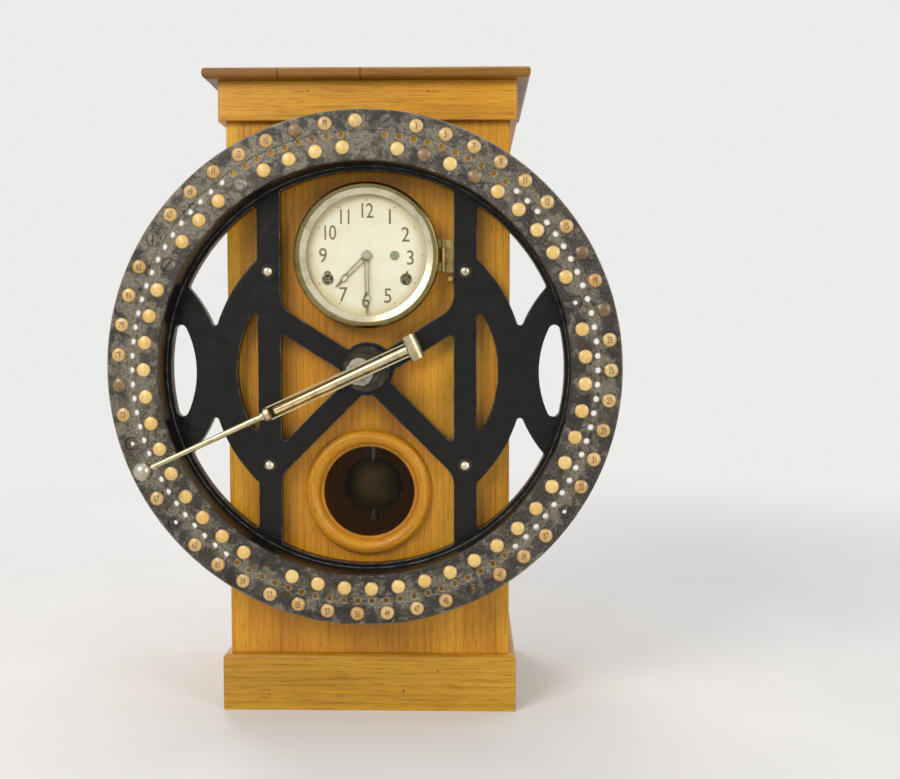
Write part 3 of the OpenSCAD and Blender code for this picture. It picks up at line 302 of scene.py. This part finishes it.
def enamel():
    """The frame: black enamel on a rough casting, with chips, and painted highlights along its edges."""
    black = [(0.35, (0.003, 0.003, 0.003)), (0.6, (0.007, 0.006, 0.005)), (0.78, (0.018, 0.015, 0.011))]
    chip = (0.11, 0.085, 0.06)
    glint = (0.4, 0.38, 0.32)
    p = Paint("frame_enamel", rough=0.2, level=0.27)
    rough = p.noise(260, 4, 0.6)
    cast = p.noise(45, 5, 0.6)
    tone = p.mix(p.slope(p.noise(150, 6, 0.72), 0.7, 0.76, high=0.6), p.ramp(cast, black), chip)
    # Painted highlight: the glint tone lightens the colour along the sharp edges, more where the casting
    # noise is high.
    glints = p.times(p.edges(0.0022), p.slope(cast, 0.42, 0.62, 0.12, 0.85))
    p.colour(p.mix(glints, tone, glint))
    p.gloss(cast, 0.12, 0.28)
    p.bump(p.plus(p.times(cast, 1.6), p.times(rough, 0.6)), 0.45, 0.0018, 0.0035)
    return p.mat


def metal(name, bright, dull, rough, grime, scale=1.0, black_behind=None, rim=None):
    """Worn metal, black behind a front, or darkened in three tones of painted shade towards the bezel's
    rim.
    """
    grimy = (0.3, 0.24, 0.16)
    black = (0.006, 0.005, 0.004)
    rim_shade_tones = (1.0, (0.42, 0.36, 0.16), (0.3, 0.25, 0.09))
    p = Paint(name, rough=rough[0], metallic=1.0)
    spots = p.noise(70 * scale, 6, 0.7, 0.3)
    soft = p.noise(18 * scale, 3, 0.5)
    hair = p.noise(900, 3, 0.6)
    tone = p.ramp(soft, [(0.3, dull), (0.62, bright)])
    tone = p.stain(grime, tone, spots, (0.36, grimy), (0.52, 1.0))
    if rim:
        # Painted shade: the bezel's outer slope darkens towards its rim.
        tone = p.stain(0.9, tone, p.times(p.radius(DIAL_Z), 1 / DIAL_REACH), *zip(rim, rim_shade_tones))
    if black_behind:
        painted = p.math("GREATER_THAN", p.sides()[1], -black_behind)
        tone = p.mix(painted, tone, black)
        p.give(p.shader.inputs["Metallic"], p.minus(1.0, painted))
    p.colour(tone)
    p.gloss(p.plus(p.times(spots, 0.6), p.times(hair, 0.4)), rough[1], rough[0])
    p.bump(p.plus(p.times(hair, 0.3), spots), 0.1, 0.0003)
    return p.mat


def ceramic(name, pale, deep, grime, spread):
    """Number plugs: each one has its own tint, and they darken towards the foot where they meet the ring.
    """
    stained = (0.45, 0.27, 0.13)
    lined = (0.6, 0.45, 0.3)
    foot_tone = (0.24, 0.13, 0.06)
    p = Paint(name, rough=0.34, coat=0.3)
    own = p.node("ShaderNodeNewGeometry").outputs["Random Per Island"]
    tone = p.mix(p.slope(own, 0.0, 1.0, high=spread), pale, deep)
    stain = p.noise(160, 5, 0.65)
    tone = p.stain(grime, tone, stain, (0.34, stained), (0.58, 1.0))
    tone = p.stain(0.25, tone, p.noise(900, 3, 0.6), (0.3, lined), (0.5, 1.0))
    # Darker towards the foot of each plug, where it meets the ring
    rise = p.times(p.minus(-RING_FRONT, p.sides()[1]), 1 / (PLUG_TOP - RING_FRONT))
    p.colour(p.stain(0.85, tone, rise, (0.12, foot_tone), (0.42, 1.0)))
    p.gloss(stain, 0.5, 0.26)
    p.bump(stain, 0.12, 0.0004)
    return p.mat


def dial_enamel():
    fresh = [(0.3, (0.8, 0.73, 0.52)), (0.65, (0.87, 0.83, 0.66))]
    speck = (0.55, 0.42, 0.22)
    aged = (0.84, 0.72, 0.45)
    p = Paint("dial_face", rough=0.3, coat=0.2)
    cloud = p.noise(26, 4, 0.6)
    tone = p.stain(0.5, p.ramp(cloud, fresh), p.noise(520, 4, 0.7), (0.26, speck), (0.34, 1.0))
    p.colour(p.stain(0.9, tone, p.times(p.radius(DIAL_Z), 1 / DIAL_REACH), (0.7, 1.0), (0.92, aged)))
    p.gloss(cloud, 0.36, 0.26)
    p.bump(cloud, 0.05, 0.0004)
    return p.mat


def plain(name, tone, other, scale, rough, metallic=0.0):
    p = Paint(name, rough=rough[0], metallic=metallic)
    fac = p.noise(scale, 5, 0.62)
    p.colour(p.ramp(fac, [(0.34, other), (0.62, tone)]))
    p.gloss(fac, *rough)
    p.bump(p.noise(scale * 5, 3), 0.15, 0.0004)
    return p.mat


def glass():
    p = Paint("clear_glass", rough=0.02)
    smear = p.noise(30, 4, 0.6)
    p.colour(p.ramp(smear, [(0.3, (0.86, 0.9, 0.88)), (0.7, (0.96, 0.98, 0.97))]))
    p.shader.inputs["Transmission Weight"].default_value = 1.0
    p.shader.inputs["IOR"].default_value = 1.3
    p.shader.inputs["Alpha"].default_value = 0.22
    p.gloss(smear, 0.01, 0.05)
    return p.mat


oak_side = wood("oak_body", OAK["body"])
oak_panel = wood("oak_panel", OAK["panel"])
oak_cornice = wood("oak_cornice", OAK["body"], along="x", aged=(0.72, 0.46, 0.3))
oak_plinth = wood("oak_plinth", OAK["plinth"], along="x")
oak_cap = wood("oak_cap", OAK["cap"], along="x", seams=(-0.129, -0.008))
oak_turned = wood("oak_turned", OAK["panel"], round_z=WINDOW_Z)
ring_iron = iron()
black = enamel()
plug_outer = ceramic("plug_outer", (0.76, 0.54, 0.21), (0.58, 0.35, 0.1), 0.45, 1.0)
plug_inner = ceramic("plug_inner", (0.86, 0.63, 0.23), (0.76, 0.47, 0.12), 0.25, 0.8)
plug_worn = ceramic("plug_worn", (0.3, 0.19, 0.08), (0.16, 0.1, 0.045), 0.8, 1.0)
steel = metal("steel_dull", (0.24, 0.22, 0.185), (0.1, 0.09, 0.075), (0.3, 0.5), 0.8)
# The pendulum bob is painted near black: painted shade for the dark inside of the case.
shaded_bob_brass = metal("shaded_bob_brass", (0.06, 0.042, 0.015), (0.03, 0.022, 0.009), (0.4, 0.6), 0.8)
hub_steel = metal("hub_steel", (0.1, 0.088, 0.064), (0.03, 0.026, 0.02), (0.1, 0.3), 0.8)
nut_nickel = metal("nut_nickel", (0.74, 0.67, 0.5), (0.52, 0.46, 0.32), (0.16, 0.34), 0.45,
                   black_behind=NUT_FOOT)
nickel = metal("nickel", (0.64, 0.55, 0.35), (0.46, 0.385, 0.22), (0.24, 0.42), 0.45)
ball_nickel = metal("ball_nickel", (0.5, 0.46, 0.37), (0.34, 0.31, 0.24), (0.26, 0.42), 0.5)
# The bezel darkens towards its rim: painted shade on its outer slope.
bezel_metal = metal("bezel_nickel", (0.74, 0.68, 0.5), (0.56, 0.5, 0.34), (0.16, 0.34), 0.4, 0.7,
                    rim=(0.975, 0.995, 1.0))
brass = metal("brass", (0.6, 0.42, 0.16), (0.3, 0.22, 0.09), (0.22, 0.46), 0.7)
cream = dial_enamel()
lacquer = plain("hand_paint", (0.32, 0.25, 0.1), (0.18, 0.14, 0.05), 300, (0.4, 0.28), 0.6)
ink = plain("dial_ink", (0.2, 0.16, 0.04), (0.14, 0.11, 0.028), 420, (0.5, 0.4))
plug_ink = plain("plug_ink", (0.035, 0.018, 0.008), (0.12, 0.06, 0.022), 260, (0.6, 0.45))
clear = glass()
satin = plain("arbor_satin", (0.7, 0.66, 0.54), (0.5, 0.46, 0.36), 300, (0.4, 0.28), 0.3)
paper = plain("paper", (0.74, 0.69, 0.55), (0.62, 0.55, 0.4), 60, (0.8, 0.7))
green = plain("port_green", (0.3, 0.33, 0.17), (0.2, 0.23, 0.11), 300, (0.4, 0.3))
# Near black for the nail holes: painted shade in place of their depth.
nail_hole_shade = plain("nail_hole_shade", (0.012, 0.008, 0.005), (0.03, 0.018, 0.01), 500, (0.8, 0.7))

material_of = {
    oak_side: ["side_board_left", "side_board_right", "back_door", "base_board", "record_drum"],
    oak_panel: ["front_panel"],
    oak_cornice: ["cornice"],
    oak_turned: ["window_moulding"],
    oak_plinth: ["plinth"],
    oak_cap: ["cap"],
    ring_iron: ["number_ring"],
    black: ["ring_frame", "rear_bracket"],
    plug_outer: ["outer_plugs"],
    plug_inner: ["inner_plugs"],
    plug_worn: ["worn_plugs"],
    steel: ["ring_screws", "spindle", "push_rod", "type_carriage", "minute_type_wheel", "hour_type_wheel",
            "pendulum_rod"],
    hub_steel: ["hub_disc"],
    nut_nickel: ["frame_fixings"],
    ball_nickel: ["ball_knob", "guide_pin", "arm_yoke", "yoke_screws", "hand_nut"],
    satin: ["winding_arbor_left", "winding_arbor_right"],
    nickel: ["arm_tube", "arm_fork", "arm_collar", "arm_rod", "fulcrum_barrel", "fulcrum_pin"],
    bezel_metal: ["bezel"],
    brass: ["case_hinge_leaves", "door_hinge_leaves", "door_latch", "spindle_bushes", "dial_housing",
            "bezel_hinge", "bezel_stop", "movement_plates", "movement_pillars", "spring_barrel_left",
            "spring_barrel_right", "centre_wheel", "minute_wheel"],
    shaded_bob_brass: ["pendulum_bob"],
    cream: ["dial_plate"],
    lacquer: ["hour_hand", "minute_hand"],
    clear: ["window_glass", "bezel_glass"],
    paper: ["paper_sheet"],
    green: ["dial_port_plug"],
}
for material, names in material_of.items():
    for name in names:
        mesh = nodes[name].data
        mesh.materials.clear()
        mesh.materials.append(material)


# Pieces that only the scene has

def to_front(x, z, front):
    """Places a shape drawn in its own x, y on the front side, so far before the case's front."""
    return Matrix.Translation((x, -front, z)) @ Matrix.Rotation(math.pi / 2, 4, "X")


def on_circle(centre_z, radius, angle):
    """A place on a circle of the front side, the angle taken clockwise from the top."""
    return radius * math.sin(angle), centre_z + radius * math.cos(angle)


def add_object(name, parts, material):
    """One piece of the case, joined from shapes and their places."""
    whole = bmesh.new()
    for shape, place in parts:
        shape.transform(place)
        mesh = bpy.data.meshes.new("part")
        shape.to_mesh(mesh)
        shape.free()
        whole.from_mesh(mesh)
        bpy.data.meshes.remove(mesh)
    bmesh.ops.recalc_face_normals(whole, faces=whole.faces)
    mesh = bpy.data.meshes.new(name)
    whole.to_mesh(mesh)
    whole.free()
    mesh.materials.append(material)
    made = bpy.data.objects.new(name, mesh)
    bpy.context.scene.collection.objects.link(made)
    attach(made, "case")


def letters(body, height, wide, bold, thick):
    """A text as a closed, thin mesh centred on the origin, its digits of the given height."""
    curve = bpy.data.curves.new("text", "FONT")
    curve.body = body
    curve.size = 1.0
    curve.resolution_u = 5
    curve.offset = bold
    curve.extrude = 0.05
    curve.space_character = 0.92
    holder = bpy.data.objects.new("text", curve)
    bpy.context.scene.collection.objects.link(holder)
    bpy.context.view_layer.update()
    mesh = bpy.data.meshes.new_from_object(holder.evaluated_get(bpy.context.evaluated_depsgraph_get()))
    bpy.data.objects.remove(holder)
    bpy.data.curves.remove(curve)
    made = bmesh.new()
    made.from_mesh(mesh)
    bpy.data.meshes.remove(mesh)
    bmesh.ops.remove_doubles(made, verts=made.verts, dist=0.0002)
    low = Vector((min(v.co.x for v in made.verts), min(v.co.y for v in made.verts), 0))
    high = Vector((max(v.co.x for v in made.verts), max(v.co.y for v in made.verts), 0))
    size = height / (high.y - low.y)
    middle = (low + high) / 2
    for v in made.verts:
        v.co = Vector(((v.co.x - middle.x) * size * wide, (v.co.y - middle.y) * size,
                       math.copysign(thick / 2, v.co.z)))
    return made


def refine(shape, longest):
    """Splits the edges until none is longer, in six rounds at most."""
    for _ in range(6):
        long_edges = [e for e in shape.edges if e.calc_length() > longest]
        if not long_edges:
            break
        bmesh.ops.subdivide_edges(shape, edges=long_edges, cuts=1)
        bmesh.ops.triangulate(shape, faces=[f for f in shape.faces if len(f.verts) > 3])


def turned(profile, steps):
    """A profile of radius and height, turned round the z axis."""
    shape = bmesh.new()
    loops = []
    for r, h in profile:
        corners = [(r * math.cos(2 * math.pi * i / steps), r * math.sin(2 * math.pi * i / steps), h)
                   for i in range(steps if r > 0 else 1)]
        loops.append([shape.verts.new(corner) for corner in corners])
    for a, b in zip(loops, loops[1:]):
        for i in range(steps):
            j = (i + 1) % steps
            corners = [a[i % len(a)], a[j % len(a)], b[j % len(b)], b[i % len(b)]]
            corners = [v for k, v in enumerate(corners) if v not in corners[:k]]
            if len(corners) > 2:
                shape.faces.new(corners)
    if profile[0] == profile[-1]:
        bmesh.ops.remove_doubles(shape, verts=shape.verts, dist=1e-7)
    return shape


def disc(r, h, steps):
    return turned([(0, 0), (r, 0), (r, h), (0, h)], steps)


# Printed numerals and dots of the dial
HOURS = {1: (0.034, 0.057), 2: (0.057, 0.031), 3: (0.064, -0.003), 4: (0.0565, -0.033),
         5: (0.0305, -0.059), 6: (-0.002, -0.066), 7: (-0.035, -0.057), 8: (-0.0585, -0.033),
         9: (-0.065, 0.0005), 10: (-0.054, 0.034), 11: (-0.0325, 0.057), 12: (0.001, 0.066)}
HOUR_HEIGHT = 0.0215
ONE_DIGIT_WIDE = 0.88
TWO_DIGITS_WIDE = 0.78
HOUR_BOLD = 0.004
HOUR_THICK = 0.00016
HOUR_LIFT = 0.00004
DOT_R = 0.0013
DOT_THICK = 0.00012
DOT_SINK = 0.00002
prints = []
for hour, (x, z) in HOURS.items():
    wide = ONE_DIGIT_WIDE if hour < 10 else TWO_DIGITS_WIDE
    shape = letters(str(hour), HOUR_HEIGHT, wide, HOUR_BOLD, HOUR_THICK)
    prints.append((shape, to_front(x, DIAL_Z + z, DIAL_FRONT + HOUR_LIFT)))
    dot = on_circle(DIAL_Z, DOT_ROW, math.radians(hour * 360 / 12))
    prints.append((disc(DOT_R, DOT_THICK, steps=4), to_front(*dot, DIAL_FRONT - DOT_SINK)))
add_object("dial_numerals", prints, ink)

# Printed numbers on the outer plugs, laid over their domes
NUMBER_HEIGHT = 0.0092
NUMBER_WIDE = 0.62
NUMBER_THICK = 0.00014
NUMBER_EDGE = 0.0016
dome_r = (PLUG_R ** 2 + DOME_H ** 2) / (2 * DOME_H)
prints = []
for number in range(1, 101, 2):
    if number in NO_PLUG:
        continue
    shape = letters(str(number), NUMBER_HEIGHT, NUMBER_WIDE, 0.0, NUMBER_THICK)
    refine(shape, NUMBER_EDGE)
    for v in shape.verts:
        v.co.z += math.sqrt(dome_r ** 2 - v.co.x ** 2 - v.co.y ** 2) - dome_r
    plug = on_circle(RING_Z, OUTER_ROW, (number + 0.5) * STEP)
    prints.append((shape, to_front(*plug, PLUG_TOP)))
add_object("plug_numbers", prints, plug_ink)

# Eyelets round the winding holes
eyelet = [(0.0078, 0.0), (0.0086, 0.0001), (0.0088, 0.0004), (0.0083, 0.0007), (0.0074, 0.0008),
          (0.0066, 0.0006), (0.0063, 0.0003), (0.0063, -0.0012), (0.0076, -0.0012), (0.0078, 0.0)]
places = [to_front(x, DIAL_Z - WINDING_DROP, DIAL_FRONT) for x in (-WINDING_X, WINDING_X)]
add_object("winding_eyelets", [(turned(eyelet, steps=48), place) for place in places], steel)

# Old nail holes in the cornice and the plinth, drawn as near-black discs of painted shade: place and
# radius
HOLE_THICK = 0.00015
HOLE_SINK = 0.00005
holes = [(-0.087, 0.928, 0.0013), (0.09, 0.927, 0.0013), (0.052, 0.03, 0.0016), (0.104, 0.062, 0.0012),
         (-0.152, 0.024, 0.0012), (0.03, 0.066, 0.0009)]
marks = [(disc(r, HOLE_THICK, steps=16), to_front(x, z, BOARD_FRONT - HOLE_SINK)) for x, z, r in holes]
add_object("nail_holes", marks, nail_hole_shade)


# Camera, floor and light

camera = bpy.data.cameras.new("camera")
camera.lens = 40
camera.sensor_width = 36
camera.shift_x = -0.00044
camera.shift_y = -0.0072
eye = bpy.data.objects.new("camera", camera)
eye.location = (0.151, -1.498, 0.574)
eye.rotation_euler = (math.pi / 2 - 0.0513, 0, 0.0189)
bpy.context.scene.collection.objects.link(eye)
bpy.context.scene.camera = eye

# A pale floor that turns into the background with distance from a point under the part
FLOOR = 8
MIDDLE_Y = 0.1
FADE_START = 0.7
FADE_END = 2.6
floor_mesh = bpy.data.meshes.new("floor")
floor_mesh.from_pydata([(-FLOOR, -FLOOR, 0), (FLOOR, -FLOOR, 0), (FLOOR, FLOOR, 0), (-FLOOR, FLOOR, 0)],
                       [], [(0, 1, 2, 3)])
floor = bpy.data.objects.new("floor", floor_mesh)
bpy.context.scene.collection.objects.link(floor)
pale = Paint("floor_pale", rough=0.9, level=0.2)
pale.colour(pale.ramp(pale.noise(3, 3), [(0.3, (0.77, 0.76, 0.74)), (0.7, (0.8, 0.79, 0.77))]))
sides = pale.sides((0, -MIDDLE_Y, 0))
far = pale.span(pale.length(sides[0], sides[1]), FADE_START, FADE_END, 0.0, 1.0, "SMOOTHSTEP")
strength = pale.math("MULTIPLY_ADD", pale.seen(), 0.65, 0.35)
glow = pale.node("ShaderNodeEmission", {"Color": BACKGROUND, "Strength": strength})
pale.show("Material Output", far, pale.shader, glow)
floor_mesh.materials.append(pale.mat)

world = bpy.data.worlds.new("studio")
bpy.context.scene.world = world
studio = Graph(world)
sky = studio.tree.nodes["Background"]
sky.inputs["Color"].default_value = (0.93, 0.95, 1.0, 1)
sky.inputs["Strength"].default_value = 0.42
shown = studio.node("ShaderNodeBackground", {"Color": BACKGROUND, "Strength": 1.0})
studio.show("World Output", studio.seen(), sky, shown)


def lamp(name, place, size, watts, tone=(1, 1, 1)):
    light = bpy.data.lights.new(name, "AREA")
    light.shape = "RECTANGLE"
    light.size, light.size_y = size
    light.energy = watts
    light.color = tone
    made = bpy.data.objects.new(name, light)
    made.location = place
    made.rotation_euler = (Vector(AIM) - Vector(place)).to_track_quat("-Z", "Y").to_euler()
    bpy.context.scene.collection.objects.link(made)


lamp("key", (-1.7, -2.4, 2.3), (1.5, 1.5), 66, (1.0, 0.96, 0.9))
lamp("fill", (2.2, -2.0, 1.4), (0.9, 2.2), 28)
lamp("top", (0.2, 0.4, 2.9), (1.6, 1.6), 24)
lamp("back", (-1.2, 2.4, 1.8), (1.2, 1.2), 22)

bpy.context.scene.view_settings.view_transform = "Standard"
